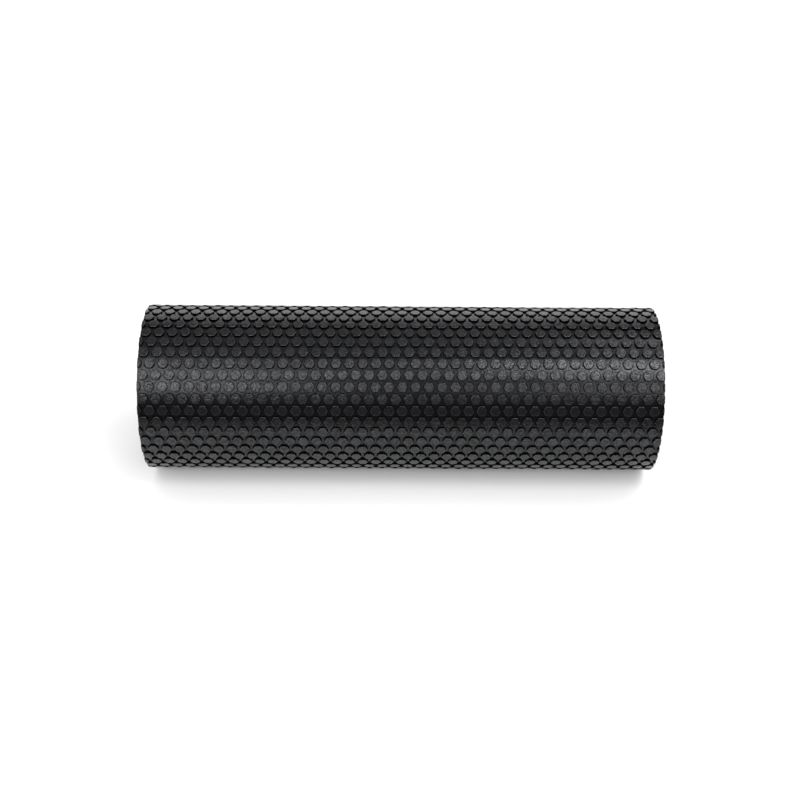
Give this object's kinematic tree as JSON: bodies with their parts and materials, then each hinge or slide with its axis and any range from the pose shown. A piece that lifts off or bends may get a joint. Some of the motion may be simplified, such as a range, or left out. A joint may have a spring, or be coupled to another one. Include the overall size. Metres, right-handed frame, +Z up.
{
  "type": "foam roller",
  "caption": "Solid round foam roller lying on its side: a laminated foam core wrapped in a thick embossed foam sheet with rows of low hexagonal bumps and flat cut ends.",
  "frame": {"origin": "on the floor, under the middle of the roller as it lies on its side", "axes": "+X along the roller's axis, +Z up; the glued seam of the cover faces +Y, 20 degrees below the horizontal"},
  "size_m": [0.45, 0.147, 0.147],
  "materials": {
    "cover_foam": "moulded closed-cell foam skin, black, satin",
    "core_foam": "cut closed-cell foam, black, matt, fine open cells on the cut faces",
    "glue": "dried contact adhesive, dark, slightly glossy"
  },
  "bodies": {
    "root": {"core_top_slab": "core_foam", "core_middle_slab": "core_foam", "core_bottom_slab": "core_foam", "core_upper_glue_line": "glue", "core_lower_glue_line": "glue", "cover_glue_film": "glue", "seam_glue_line": "glue", "cover_sheet": "cover_foam"}
  },
  "joints": []
}
